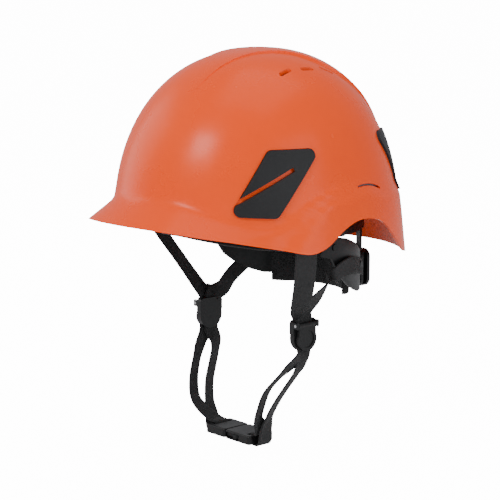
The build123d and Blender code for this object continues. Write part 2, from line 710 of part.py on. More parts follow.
def make_strap_anchors():
    """Anchor plates for the front straps inside the rim, and studs for the rear straps on the band."""
    with BuildPart() as anchors:
        for side in (1, -1):
            with BuildSketch(Plane(origin=(side * 99.6, -38, 19), z_dir=(side, -0.12, 0))):
                RectangleRounded(24, 11, 2)
            extrude(amount=2.2)
    save(anchors.part, "front_strap_anchors")
    with BuildPart() as studs:
        for side in (1, -1):
            with BuildSketch(Plane(origin=(side * 61.4, 58, -22), z_dir=(side, 0.55, 0))):
                Circle(4.5)
            extrude(amount=6.2)
    save(studs.part, "rear_strap_studs")


# ---- side adjusters ----------------------------------------------------------------------------------
def make_adjuster(name, side):
    """Frame that gathers the two straps, and the cam lever that locks them."""
    middle_z = (ADJUSTER_TOP + ADJUSTER_BOTTOM) / 2
    height = ADJUSTER_TOP - ADJUSTER_BOTTOM
    face = Plane(origin=(side * (ADJUSTER_X - ADJUSTER_WALL / 2), 0, 0), x_dir=(0, side, 0), z_dir=(side, 0, 0))
    top = ADJUSTER_WALL
    with BuildPart() as frame:
        with BuildSketch(face):
            with Locations((side * ADJUSTER_Y, ADJUSTER_TOP - height / 4)):
                RectangleRounded(2 * ADJUSTER_HALF_WIDTH, height / 2, 3.5)
            with Locations((side * ADJUSTER_Y, ADJUSTER_BOTTOM + ADJUSTER_ROUND)):
                Circle(ADJUSTER_ROUND)
        extrude(amount=ADJUSTER_WALL)
        with BuildSketch(face.offset(top)):
            with Locations((side * ADJUSTER_Y, LEVER_PIN_Z)):
                with Locations((ADJUSTER_HALF_WIDTH - 1.5, 0), (1.5 - ADJUSTER_HALF_WIDTH, 0)):
                    RectangleRounded(3, 6, 1)
        extrude(amount=4.4)
        with BuildSketch(face.offset(top)):
            with Locations((side * ADJUSTER_Y, middle_z)):
                with GridLocations(1, 3.4, 1, 5):
                    Rectangle(2 * ADJUSTER_HALF_WIDTH - 11, 1.2)
        extrude(amount=0.7)
        pin_axis = Plane(origin=(side * (ADJUSTER_X + top / 2 + 2.3), ADJUSTER_Y - 20, LEVER_PIN_Z),
                         x_dir=(1, 0, 0), z_dir=(0, 1, 0))
        with BuildSketch(pin_axis):
            Circle(LEVER_PIN_RADIUS)
        extrude(amount=40, mode=Mode.SUBTRACT)
    save(frame.part, "adjuster_frame_" + name)
    with BuildPart() as pin:
        with BuildSketch(Plane(origin=(side * (ADJUSTER_X + top / 2 + 2.3), ADJUSTER_Y - ADJUSTER_HALF_WIDTH,
                                       LEVER_PIN_Z), x_dir=(1, 0, 0), z_dir=(0, 1, 0))):
            Circle(LEVER_PIN_RADIUS)
        extrude(amount=2 * ADJUSTER_HALF_WIDTH)
    save(pin.part, "adjuster_pin_" + name)
    reach = 0.35
    lever_face = face.offset(top + 1.0)
    with BuildPart() as lever:
        with BuildSketch(lever_face):
            with Locations((side * ADJUSTER_Y, LEVER_DISC_Z)):
                Circle(LEVER_RADIUS)
            with Locations((side * ADJUSTER_Y, (LEVER_PIN_Z + middle_z) / 2)):
                Rectangle(2 * (ADJUSTER_HALF_WIDTH - 3.4), LEVER_PIN_Z - middle_z + 1)
        extrude(amount=3.0)
        with BuildSketch(Plane(origin=(side * (ADJUSTER_X + top / 2 + 2.3), ADJUSTER_Y - ADJUSTER_HALF_WIDTH
                                       + 3.0 + reach, LEVER_PIN_Z), x_dir=(1, 0, 0), z_dir=(0, 1, 0))):
            Circle(2.2)
        extrude(amount=2 * (ADJUSTER_HALF_WIDTH - 3.0 - reach))
        with BuildSketch(lever_face.offset(3.0)):
            with Locations((side * ADJUSTER_Y, LEVER_DISC_Z)):
                Circle(LEVER_RADIUS - 3)
        extrude(amount=-0.8, mode=Mode.SUBTRACT)
        with BuildSketch(pin_axis):
            Circle(LEVER_PIN_RADIUS + RUNNING_GAP)
        extrude(amount=40, mode=Mode.SUBTRACT)
    save(lever.part, "adjuster_lever_" + name)


# ---- chin buckle -------------------------------------------------------------------------------------
def buckle_box(x0, x1, half_width, half_height):
    return block(x0, x1, BUCKLE_Y - half_width, BUCKLE_Y + half_width, BUCKLE_Z - half_height,
                 BUCKLE_Z + half_height)


def make_buckle():
    half = BUCKLE_HEIGHT / 2
    wide = BUCKLE_HALF_WIDTH
    slot_start = 18.5
    socket_body = buckle_box(BUCKLE_MOUTH, BUCKLE_END, wide, half)
    mouth = buckle_box(BUCKLE_MOUTH - 1, slot_start - 3, wide + 1, half - BUCKLE_WALL)
    socket_slot = buckle_box(slot_start + 2, BUCKLE_END - 4, wide - 4.5, half + 1)
    with BuildPart() as socket:
        add(socket_body)
        fillet(socket.edges().filter_by(Axis.Z), 3.0)
        fillet(socket.edges().group_by(Axis.Z)[0] + socket.edges().group_by(Axis.Z)[-1], 1.2)
        add(mouth, mode=Mode.SUBTRACT)
        add(socket_slot, mode=Mode.SUBTRACT)
    save(socket.part, "buckle_socket")
    plug_body = buckle_box(-BUCKLE_END, BUCKLE_MOUTH - PRONG_GAP, wide, half)
    plug_slot = buckle_box(-BUCKLE_END + 4, -slot_start - 2, wide - 4.5, half + 1)
    tongue = buckle_box(BUCKLE_MOUTH - PRONG_GAP - 0.5, slot_start - 6, 3.0, half - BUCKLE_WALL - PRONG_GAP)
    seats = []
    for side in (1, -1):
        y = BUCKLE_Y + side * 10.25
        seats.append(block(BUCKLE_MOUTH - 6, BUCKLE_MOUTH + 1, y - 2.2, y + 2.2, BUCKLE_Z - 2.2, BUCKLE_Z + 2.2))
    with BuildPart() as plug:
        add(plug_body)
        fillet(plug.edges().filter_by(Axis.Z), 3.0)
        fillet(plug.edges().group_by(Axis.Z)[0] + plug.edges().group_by(Axis.Z)[-1], 1.2)
        add(plug_slot, mode=Mode.SUBTRACT)
        add(tongue)
        for seat in seats:
            add(seat, mode=Mode.SUBTRACT)
    save(plug.part, "buckle_plug")
    for name, side in (("front", -1), ("back", 1)):
        arm = [(BUCKLE_MOUTH - 4, 8.9), (BUCKLE_MOUTH - 4, 11.6), (6, 11.6), (7.5, 14.2), (11, 14.2),
               (14.5, 9.6), (14.5, 8.6), (8, 8.9)]
        with BuildPart() as prong:
            with BuildSketch(Plane.XY.offset(BUCKLE_Z - 1.9)):
                with BuildLine():
                    Polyline(*[(x, BUCKLE_Y + side * y) for x, y in arm], close=True)
                make_face()
            extrude(amount=3.8)
            fillet(prong.edges().filter_by(Axis.Z).group_by(Axis.X)[0], 1.0)
        save(prong.part, "buckle_prong_" + name)


os.makedirs("parts", exist_ok=True)
make_shell()
make_lamp_clips()
make_liner()
make_front_band()
make_brow_pad()
make_rear_bands()
make_band_studs()
make_cradle_arms()
make_arm_anchors()
make_housing()
make_knob()
make_pinion()
make_racks()
make_nape_pad()
make_crown_straps()
make_crown_keys()
make_straps()
make_strap_anchors()
for label, hand in (("left", 1), ("right", -1)):
    make_adjuster(label, hand)
make_buckle()
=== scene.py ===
# %% [markdown]
# # Arborist helmet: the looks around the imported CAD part
#
# The CAD part gives every hard piece. This script adds the woven chin straps, the crown webbing,
# the padded brow and nape pads, their seams and stitches, and all materials, lights and the camera.
# Lengths are in metres. +Z is up, -Y is the front of the helmet.

# %%
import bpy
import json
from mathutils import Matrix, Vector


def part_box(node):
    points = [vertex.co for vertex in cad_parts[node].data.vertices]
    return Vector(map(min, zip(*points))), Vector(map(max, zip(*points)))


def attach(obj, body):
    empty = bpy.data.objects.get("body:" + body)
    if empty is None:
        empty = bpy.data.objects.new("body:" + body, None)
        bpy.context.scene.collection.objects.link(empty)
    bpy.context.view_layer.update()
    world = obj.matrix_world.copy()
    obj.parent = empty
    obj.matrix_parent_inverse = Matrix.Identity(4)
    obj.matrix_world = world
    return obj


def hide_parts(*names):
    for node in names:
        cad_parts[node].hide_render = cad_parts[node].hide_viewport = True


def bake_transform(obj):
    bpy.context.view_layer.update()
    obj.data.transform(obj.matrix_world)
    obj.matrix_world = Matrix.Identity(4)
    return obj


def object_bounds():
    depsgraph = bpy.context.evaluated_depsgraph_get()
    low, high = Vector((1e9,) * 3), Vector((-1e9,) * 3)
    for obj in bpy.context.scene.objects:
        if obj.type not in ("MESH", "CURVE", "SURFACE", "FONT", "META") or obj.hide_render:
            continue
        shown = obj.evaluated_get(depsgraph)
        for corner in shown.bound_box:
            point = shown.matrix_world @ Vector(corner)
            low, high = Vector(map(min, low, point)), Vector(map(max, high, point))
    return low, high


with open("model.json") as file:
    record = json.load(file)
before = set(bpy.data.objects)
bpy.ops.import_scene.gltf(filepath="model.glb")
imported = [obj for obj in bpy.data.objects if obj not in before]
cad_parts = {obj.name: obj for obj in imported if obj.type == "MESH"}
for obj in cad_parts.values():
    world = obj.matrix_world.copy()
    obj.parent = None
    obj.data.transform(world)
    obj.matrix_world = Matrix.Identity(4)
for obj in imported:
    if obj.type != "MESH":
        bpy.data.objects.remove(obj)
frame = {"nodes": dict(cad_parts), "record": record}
import json
import math

import bmesh
import bpy
from mathutils import Vector

MM = 0.001
nodes = frame["nodes"]
record = frame["record"]
cad_low, cad_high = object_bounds()
made = {}
print(len(nodes), "CAD nodes from", [round(v, 3) for v in cad_low], "to", [round(v, 3) for v in cad_high])

# %% [markdown]
# ## Small helpers
# One function for a new mesh object and one for shader nodes, so that the rest reads as a list of pieces.

# %%
def new_piece(name, bm, body, material=None):
    """A mesh object at the origin that rides on a body and takes its finish from a slot."""
    mesh = bpy.data.meshes.new(name)
    bmesh.ops.recalc_face_normals(bm, faces=bm.faces)
    bm.to_mesh(mesh)
    bm.free()
    for polygon in mesh.polygons:
        polygon.use_smooth = True
    piece = bpy.data.objects.new(name, mesh)
    bpy.context.scene.collection.objects.link(piece)
    if body:
        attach(piece, body)
    if material:
        mesh.materials.append(material)
    made[name] = piece
    return piece


class Shader:
    """Builds one material's nodes."""

    def __init__(self, name, color, roughness, **inputs):
        self.material = bpy.data.materials.new(name)
        self.material.use_nodes = True
        self.tree = self.material.node_tree
        self.surface = next(n for n in self.tree.nodes if n.type == "BSDF_PRINCIPLED")
        self.surface.inputs["Base Color"].default_value = (*color, 1)
        self.surface.inputs["Roughness"].default_value = roughness
        self.surface.inputs["Specular IOR Level"].default_value = 0.3
        self.color = (*color, 1)
        for key, value in inputs.items():
            self.surface.inputs[key.replace("_", " ")].default_value = value
        self.coords = self.add("ShaderNodeTexCoord")
        self.normal = None

    def add(self, kind, **settings):
        node = self.tree.nodes.new(kind)
        for key, value in settings.items():
            setattr(node, key, value)
        return node

    def join(self, output, target):
        self.tree.links.new(output, target)

    def noise(self, scale, detail=3.0, roughness=0.55, source="Object"):
        node = self.add("ShaderNodeTexNoise")
        node.inputs["Scale"].default_value = scale
        node.inputs["Detail"].default_value = detail
        node.inputs["Roughness"].default_value = roughness
        self.join(self.coords.outputs[source], node.inputs["Vector"])
        return node.outputs["Fac"]

    def cells(self, scale, feature="F1", output="Distance"):
        node = self.add("ShaderNodeTexVoronoi", feature=feature)
        node.inputs["Scale"].default_value = scale
        self.join(self.coords.outputs["Object"], node.inputs["Vector"])
        return node.outputs[output]

    def math(self, operation, first, second=0.0):
        node = self.add("ShaderNodeMath", operation=operation)
        for socket, value in zip(node.inputs, (first, second)):
            if isinstance(value, (int, float)):
                socket.default_value = value
            else:
                self.join(value, socket)
        return node.outputs[0]

    def ramp(self, value, low, high, at_low=0.0, at_high=1.0):
        node = self.add("ShaderNodeMapRange", clamp=True)
        node.inputs["From Min"].default_value = low
        node.inputs["From Max"].default_value = high
        node.inputs["To Min"].default_value = at_low
        node.inputs["To Max"].default_value = at_high
        self.join(value, node.inputs["Value"])
        return node.outputs["Result"]

    def bump(self, height, distance, strength=1.0):
        """Adds a relief of the given depth, over those added before."""
        node = self.add("ShaderNodeBump")
        node.inputs["Distance"].default_value = distance
        node.inputs["Strength"].default_value = strength
        self.join(height, node.inputs["Height"])
        if self.normal:
            self.join(self.normal, node.inputs["Normal"])
        self.normal = node.outputs["Normal"]
        self.join(self.normal, self.surface.inputs["Normal"])

    def tint(self, factor, other):
        """Mixes the base colour towards another by a factor."""
        node = self.add("ShaderNodeMix", data_type="RGBA")
        before = self.surface.inputs["Base Color"]
        if before.links:
            self.join(before.links[0].from_socket, node.inputs[6])
        else:
            node.inputs[6].default_value = self.color
        node.inputs[7].default_value = (*other, 1)
        self.join(factor, node.inputs[0])
        self.join(node.outputs[2], before)

    def rough(self, factor, low, high):
        """Roughness that follows a factor from 0 to 1."""
        self.join(self.ramp(factor, 0.3, 0.7, low, high), self.surface.inputs["Roughness"])


print("helpers ready")

# %% [markdown]
# ## Materials
# All have relief at the size the real one shows; most have colour variation and some roughness variation.

# %%
def moulded(name, color, roughness, grain, depth, wear=None):
    """Injection-moulded plastic: fine grain, faint flow marks and slightly worn spots."""
    shader = Shader(name, color, roughness)
    shader.bump(shader.noise(grain, 2.0), depth)
    broad = shader.noise(38.0, 4.0)
    shader.rough(broad, roughness - 0.05, roughness + 0.07)
    lighter = tuple(min(1.0, c * 1.35 + 0.004) for c in color)
    shader.tint(shader.ramp(broad, 0.42, 0.75, 0.0, 0.5), lighter)
    if wear:
        scuffs = shader.ramp(shader.noise(260.0, 8.0, 0.7), 0.62, 0.74, 0.0, 0.35)
        shader.tint(scuffs, wear)
    return shader


shell_shader = Shader("shell_orange", (0.98, 0.075, 0.0005), 0.27, Specular_IOR_Level=0.22)
shell_shader.bump(shell_shader.noise(26.0, 2.0), 0.0006, 0.25)
shell_shader.bump(shell_shader.noise(1500.0, 2.0), 0.00002, 0.6)
shell_cloud = shell_shader.noise(14.0, 5.0)
shell_shader.rough(shell_cloud, 0.24, 0.31)
shell_shader.tint(shell_shader.ramp(shell_cloud, 0.4, 0.8, 0.0, 0.35), (0.99, 0.09, 0.001))
shell_shader.tint(shell_shader.ramp(shell_shader.noise(420.0, 9.0, 0.75), 0.68, 0.8, 0.0, 0.25),
                  (0.85, 0.10, 0.008))

clip_shader = moulded("clip_plastic", (0.011, 0.011, 0.012), 0.5, 1900.0, 0.00008, (0.03, 0.03, 0.031))
band_shader = moulded("band_plastic", (0.007, 0.007, 0.0075), 0.4, 1400.0, 0.00005)
buckle_shader = moulded("buckle_plastic", (0.008, 0.008, 0.0085), 0.36, 1700.0, 0.00005,
                        (0.028, 0.028, 0.028))
stud_shader = moulded("stud_plastic", (0.009, 0.009, 0.0095), 0.45, 1500.0, 0.00005)
knob_shader = moulded("knob_plastic", (0.045, 0.046, 0.048), 0.45, 1800.0, 0.00007, (0.12, 0.12, 0.12))

foam_shader = Shader("liner_foam", (0.30, 0.30, 0.31), 0.88)
beads = foam_shader.cells(330.0)
foam_shader.bump(foam_shader.ramp(beads, 0.0, 0.55, 1.0, 0.0), 0.0006)
foam_shader.bump(foam_shader.noise(1300.0, 3.0), 0.0001)
# The grooves between the beads are tinted darker: painted shade where the relief is lowest.
foam_shader.tint(foam_shader.ramp(beads, 0.35, 0.7, 0.0, 0.7), (0.17, 0.17, 0.175))
foam_shader.tint(foam_shader.ramp(foam_shader.noise(60.0, 3.0), 0.45, 0.8, 0.0, 0.4), (0.4, 0.4, 0.4))

steel_shader = Shader("pin_steel", (0.45, 0.45, 0.46), 0.28, Metallic=1.0)
steel_shader.bump(steel_shader.noise(2600.0, 2.0), 0.00003)
steel_shader.rough(steel_shader.noise(300.0, 4.0), 0.22, 0.38)


def knitted(name, color, light):
    """Spacer fabric: a net of small open cells with a soft nap."""
    shader = Shader(name, color, 0.92, Sheen_Weight=0.1, Sheen_Roughness=0.5)
    net = shader.cells(470.0)
    shader.bump(shader.ramp(net, 0.15, 0.5, 0.0, 1.0), 0.0006)
    shader.bump(shader.noise(3500.0, 2.0), 0.0002)
    # The raised net is tinted lighter than the open cells: painted highlight on the net and painted shade in
    # the cells.
    shader.tint(shader.ramp(net, 0.25, 0.5, 0.0, 0.8), light)
    shader.tint(shader.ramp(shader.noise(90.0, 3.0), 0.45, 0.7, 0.0, 0.3), light)
    return shader


def woven(name, color, light, pick=1.3, end=0.95):
    """Webbing: floats of yarn in offset rows. UV is in metres."""
    shader = Shader(name, color, 0.78, Sheen_Weight=0.12, Sheen_Roughness=0.45)
    split = shader.add("ShaderNodeSeparateXYZ")
    shader.join(shader.coords.outputs["UV"], split.inputs[0])
    across, along = split.outputs[0], split.outputs[1]
    row = shader.math("MULTIPLY", along, 1000.0 / pick)
    column = shader.math("MULTIPLY", across, 1000.0 / end)
    parity = shader.math("PINGPONG", shader.math("FLOOR", column), 1.0)
    shifted = shader.math("ADD", row, shader.math("MULTIPLY", parity, 0.5))
    lengthwise = shader.math("ABSOLUTE", shader.math("SINE", shader.math("MULTIPLY", shifted, math.pi)))
    crosswise = shader.math("ABSOLUTE", shader.math("SINE", shader.math("MULTIPLY", column, math.pi)))
    relief = shader.math("MULTIPLY", shader.math("POWER", lengthwise, 0.6),
                         shader.math("POWER", crosswise, 0.5))
    shader.bump(relief, 0.00035)
    shader.bump(shader.noise(4200.0, 3.0), 0.00012)
    # The yarn crests are tinted lighter than the valleys: painted highlight on the crests and painted shade
    # between the yarns.
    shader.tint(shader.ramp(relief, 0.35, 0.95, 0.0, 0.75), light)
    shader.tint(shader.ramp(shader.noise(150.0, 4.0), 0.5, 0.8, 0.0, 0.35), tuple(1.6 * c for c in light))
    shader.rough(relief, 0.86, 0.68)
    return shader


brow_shader = knitted("brow_fabric", (0.006, 0.006, 0.0065), (0.018, 0.018, 0.019))
nape_shader = knitted("nape_fabric", (0.007, 0.007, 0.0075), (0.022, 0.022, 0.023))
binding_shader = woven("edge_binding", (0.012, 0.012, 0.013), (0.032, 0.032, 0.034), 0.8, 0.7)
crown_shader = woven("crown_webbing", (0.008, 0.008, 0.0085), (0.026, 0.026, 0.028))
webbing_shader = woven("chin_webbing", (0.006, 0.006, 0.0065), (0.018, 0.018, 0.019))
thread_shader = Shader("thread", (0.03, 0.03, 0.0315), 0.7, Sheen_Weight=0.1)
thread_shader.bump(thread_shader.noise(5200.0, 2.0), 0.0001)
thread_shader.tint(thread_shader.ramp(thread_shader.noise(900.0, 2.0), 0.4, 0.7, 0.0, 0.5),
                   (0.05, 0.05, 0.052))

shaders = {"shell_orange": shell_shader, "clip_plastic": clip_shader, "band_plastic": band_shader,
           "buckle_plastic": buckle_shader, "stud_plastic": stud_shader, "knob_plastic": knob_shader,
           "liner_foam": foam_shader, "pin_steel": steel_shader, "brow_fabric": brow_shader,
           "nape_fabric": nape_shader, "crown_webbing": crown_shader, "chin_webbing": webbing_shader}
slots = {part["node"]: part["material_slot"] for part in record["subparts"]}
for name, piece in nodes.items():
    piece.data.materials.clear()
    piece.data.materials.append(shaders[slots[name]].material)
print(len(shaders), "materials on", len(nodes), "nodes")

# %% [markdown]
# ## Webbing
# A strap is a flat band along a smooth curve through its stations. A station is a point and the direction
# across the webbing. The edges are rounded like a woven selvedge.

# %%
def smooth_route(stations, step):
    """Points, forward and sideways directions every step or so along a curve through the stations."""
    points = [Vector(p) * MM for p, _ in stations]
    across = [Vector(a).normalized() for _, a in stations]
    padded_points = [2 * points[0] - points[1], *points, 2 * points[-1] - points[-2]]
    places, sides = [], []
    for i in range(len(points) - 1):
        a, b, c, d = padded_points[i:i + 4]
        count = max(2, round((c - b).length / step))
        for k in range(count):
            t = k / count
            place = 0.5 * (2 * b + (c - a) * t + (2 * a - 5 * b + 4 * c - d) * t ** 2
                           + (3 * b - a - 3 * c + d) * t ** 3)
            places.append(place)
            sides.append(across[i].lerp(across[i + 1], t * t * (3 - 2 * t)).normalized())
    places.append(points[-1])
    sides.append(across[-1])
    route, travelled = [], 0.0
    for i, place in enumerate(places):
        forward = (places[min(i + 1, len(places) - 1)] - places[max(i - 1, 0)]).normalized()
        side = (sides[i] - forward * sides[i].dot(forward)).normalized()
        if i:
            travelled += (place - places[i - 1]).length
        route.append((place, forward, side, travelled))
    return route


def selvedge_section(width, wall):
    """Half-round edges and a nearly flat face, as offsets across and through the webbing."""
    half, thick = width / 2, wall / 2
    face = [(-half + 0.35 * thick, 0.80), (-half + 1.2 * thick, 1.0), (-half + 2.6 * thick, 0.98),
            (-half / 2, 0.93), (0.0, 0.95), (half / 2, 0.93),
            (half - 2.6 * thick, 0.98), (half - 1.2 * thick, 1.0), (half - 0.35 * thick, 0.80)]
    top = [(u, w * thick) for u, w in face]
    return [(-half, 0.0), *top, (half, 0.0), *[(u, -w) for u, w in reversed(top)]]


def webbing(name, stations, width, wall, body, material, step=1.6 * MM):
    """The band itself, with UV across and along it in metres."""
    route = smooth_route(stations, step)
    section = selvedge_section(width, wall)
    bm = bmesh.new()
    uv = bm.loops.layers.uv.new("UVMap")
    rings = []
    for place, forward, side, _ in route:
        through = side.cross(forward).normalized()
        rings.append([bm.verts.new(place + side * u + through * w) for u, w in section])
    size = len(section)
    for i in range(len(rings) - 1):
        for j in range(size):
            k = (j + 1) % size
            face = bm.faces.new((rings[i][j], rings[i][k], rings[i + 1][k], rings[i + 1][j]))
            ends = [(j, i), (k, i), (k, i + 1), (j, i + 1)]
            for loop, (column, row) in zip(face.loops, ends):
                loop[uv].uv = (section[column][0] + 0.5, route[row][3])
    bm.faces.new(rings[0])
    bm.faces.new(rings[-1][::-1])
    return new_piece(name, bm, body, material), route


def stitch(bm, centre, along, normal, length=2.3 * MM, radius=0.34 * MM):
    """One stitch: a short thread that dips into the webbing at both ends."""
    side = normal.cross(along).normalized()
    rings = []
    steps, around = 6, 6
    for i in range(steps + 1):
        t = i / steps * 2 - 1
        lift = radius * 0.55 * (1 - t * t) - radius * 0.25
        middle = centre + along * (t * length / 2) + normal * lift
        size = radius * math.sqrt(max(0.12, 1 - t ** 4))
        rings.append([bm.verts.new(middle + side * size * math.cos(2 * math.pi * k / around)
                                   + normal * size * 0.8 * math.sin(2 * math.pi * k / around))
                      for k in range(around)])
    for i in range(steps):
        for k in range(around):
            n = (k + 1) % around
            bm.faces.new((rings[i][k], rings[i][n], rings[i + 1][n], rings[i + 1][k]))
    bm.faces.new(rings[0][::-1])
    bm.faces.new(rings[-1])


def at_length(route, length):
    """Place and directions at a distance along a route."""
    for (p, f, s, a), (q, g, r, b) in zip(route, route[1:]):
        if b >= length:
            t = (length - a) / max(b - a, 1e-9)
            return p.lerp(q, t), f.lerp(g, t).normalized(), s.lerp(r, t).normalized()
    return route[-1][:3]


def sewn(bm, route, start, end, half, wall, cross=True):
    """A sewn box on both faces of a strap, from start to end along it, with a cross inside."""
    lines = [((start, -half), (end, -half)), ((start, half), (end, half)),
             ((start, -half), (start, half)), ((end, -half), (end, half))]
    if cross:
        lines += [((start, -half), (end, half)), ((start, half), (end, -half))]
    pitch = 2.7 * MM
    for (a0, u0), (a1, u1) in lines:
        span = math.hypot(a1 - a0, u1 - u0)
        count = max(2, round(span / pitch))
        for i in range(count):
            t = (i + 0.5) / count
            place, forward, side = at_length(route, a0 + (a1 - a0) * t)
            through = side.cross(forward).normalized()
            heading = (forward * (a1 - a0) + side * (u1 - u0)).normalized()
            for face in (1, -1):
                stitch(bm, place + side * (u0 + (u1 - u0) * t) + through * face * wall * 0.49,
                       heading, through * face, span / count * 0.82)


print("webbing helpers ready")

# %% [markdown]
# ## Chin harness
# On each side a front strap and a rear strap meet at an adjuster. Below it two bands lead to the buckle,
# where the webbing turns round the buckle's end bar.

# %%
adjuster_low, adjuster_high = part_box("adjuster_frame_left")
socket_low, socket_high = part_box("buckle_socket")
outer = (adjuster_low[0] + adjuster_high[0]) / 2 / MM + 0.6
inner = outer - 3.0
top = adjuster_high[2] / MM
print("adjuster layers at", round(outer, 2), round(inner, 2), "top", round(top, 2))
lead = 3.0
inside = 5.0
bottom = adjuster_low[2] / MM
bar = socket_high[0] / MM - 4.0
over = socket_high[2] / MM + 0.9
under = socket_low[2] / MM - 0.9
mid_y = (socket_low[1] + socket_high[1]) / 2 / MM
mid_z = (socket_low[2] + socket_high[2]) / 2 / MM


def mirrored(stations):
    return [((-x, y, z), (-a, b, c)) for (x, y, z), (a, b, c) in stations]


def round_the_bar(side):
    """The webbing comes over the end bar, down through the slot and out underneath."""
    across = (0, 1, 0)
    return [((side * (bar + 1.5), mid_y, over), across), ((side * (bar - 0.8), mid_y, over - 0.3), across),
            ((side * (bar - 2.2), mid_y, over - 2.6), across), ((side * (bar - 2.4), mid_y, mid_z), across),
            ((side * (bar - 2.2), mid_y, under + 2.6), across),
            ((side * (bar - 0.8), mid_y, under + 0.3), across),
            ((side * (bar + 2.0), mid_y, under), across)]


level = (0, 1, 0)
front_strap = [((98.6, -38, 24), (0.3, 1, 0)), ((97.6, -35, 6), (0.3, 1, -0.05)),
               ((80.5, -21, -26), (0.3, 1, -0.1)), ((66, -11, -50), (0.2, 1, -0.1)),
               ((outer, -6, top + lead), level), ((outer, -6, top - inside), level)]
rear_left = [((62.5, 64.6, -22.8), (-0.4, 0.3, 0.9)), ((65.9, 60.8, -22), (-0.4, 0.3, 0.9)),
             ((74.8, 42.4, -17.5), (-0.2, 0.2, 0.9)), ((79.6, 22.2, -19.5), (0, 0.5, 0.9)),
             ((79.6, 8, -28), (0, 0.8, 0.6)), ((68, 1, -46), (0.1, 1, 0.1)),
             ((inner, -2, top + lead), level), ((inner, -2, top - inside), level)]
rear_right = [((-62.5, 64.6, -19.5), (-0.3, -0.6, 0.8)), ((-65.9, 60.8, -22), (-0.3, -0.6, 0.8)),
              ((-72.8, 50.8, -34), (-0.1, -0.6, 0.8)), ((-74.5, 34, -46), (-0.1, -0.6, 0.8)),
              ((-64, 14, -54), (0, -0.9, 0.6)), ((-inner, -1, top + lead), (0, -1, 0)),
              ((-inner, -1, top - inside), (0, -1, 0))]
turned = (-0.38, 0.92, 0)
outer_left = [((outer, -6, bottom + inside), level), ((outer, -6.5, bottom - lead), level),
              ((60, -17, -100), (-0.15, 1, 0)), ((54.5, -26, -110), turned), ((47, -32, -122), turned),
              ((41.5, -34, -137), turned), ((37, -33, -149), turned), ((34.5, -28, -157), (-0.1, 1, 0)),
              ((31, -23.5, -162.8), level), *round_the_bar(1)]
inner_left = [((inner, -2, bottom + inside), level), ((inner, -2.3, bottom - lead), level),
              ((59.5, -4, -99), (-0.15, 1, 0)), ((57.5, -9, -109), turned), ((53, -16, -121), turned),
              ((47.5, -21, -133), turned), ((42.5, -25, -146), turned), ((38, -25, -159), (-0.1, 1, 0)),
              ((34.5, -22.5, -169), level), ((31, -22, -173.7), level), ((bar + 1, -22, under), level)]
outer_right = [((-outer, -6, bottom + inside), level), ((-outer, -6.5, bottom - lead), level),
               ((-64, -12, -101), (-0.2, 1, 0)), ((-63.5, -18, -117), turned), ((-60, -24, -133), turned),
               ((-53, -28, -147), turned), ((-43, -27, -156), (-0.15, 1, 0)), ((-35, -24, -161.5), level),
               ((-31, -22.5, -163.5), level), *round_the_bar(-1)]
inner_right = [((-inner, -2, bottom + inside), level), ((-inner, -1.7, bottom - lead), level),
               ((-60.5, 2.5, -99), (-0.2, 1, 0)), ((-59.5, 1, -110), turned), ((-57.5, -4, -122), turned),
               ((-54.5, -10, -135), turned), ((-50, -14, -150), turned), ((-43, -17, -163), (-0.1, 1, 0)),
               ((-36.5, -21, -171.5), level), ((-31, -22, -173.8), level), ((-bar - 1, -22, under), level)]

wide, narrow, wall = 19 * MM, 15 * MM, 1.6 * MM
harness = {"front_strap_left": (front_strap, wide), "front_strap_right": (mirrored(front_strap), wide),
           "rear_strap_left": (rear_left, narrow), "rear_strap_right": (rear_right, narrow),
           "outer_loop_left": (outer_left, narrow), "inner_loop_left": (inner_left, narrow),
           "outer_loop_right": (outer_right, narrow), "inner_loop_right": (inner_right, narrow)}
free_ends = {"outer_loop_right", "inner_loop_right"}
routes = {}
for node, (stations, width) in harness.items():
    body = None if node in free_ends else "helmet"
    strap, routes[node] = webbing(node + "_woven", stations, width, wall, body,
                                  webbing_shader.material)
    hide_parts(node)
print(len(routes), "straps, in mm:", {n: round(r[-1][3] / MM) for n, r in routes.items()})

# %% [markdown]
# ## Sewing on the straps
# A sewn box holds the fold above each adjuster and beside the buckle. The threads are small raised stitches.

# %%
def sewing(name, jobs, body):
    """All the stitches of one strap: each job is start, end, half width of a box, and if it is crossed."""
    bm = bmesh.new()
    for node, start, end, half, cross in jobs:
        total = routes[node][-1][3]
        a, b = (start, end) if start >= 0 else (total + start, total + end)
        sewn(bm, routes[node], a, b, half, wall, cross)
    return new_piece(name, bm, body, thread_shader.material)


for side in ("left", "right"):
    front_jobs = [("front_strap_" + side, 4 * MM, 17 * MM, 7.5 * MM, True),
                  ("front_strap_" + side, -21 * MM, -9 * MM, 7.5 * MM, True)]
    sewing("front_strap_sewing_" + side, front_jobs, "helmet")
    sewing("rear_strap_sewing_" + side, [("rear_strap_" + side, 12 * MM, 24 * MM, 5.6 * MM, True)], "helmet")
sewing("loop_sewing_left", [("outer_loop_left", -34 * MM, -24 * MM, 5.6 * MM, False)], "helmet")
loop_sewing = sewing("loop_sewing_right", [("outer_loop_right", -34 * MM, -24 * MM, 5.6 * MM, False)], None)
for piece in (made["outer_loop_right_woven"], made["inner_loop_right_woven"], loop_sewing):
    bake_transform(piece)
print("stitched")

# %% [markdown]
# ## Crown webbing
# Six bands rise from the keys in the shell's wall to a hub over the head.

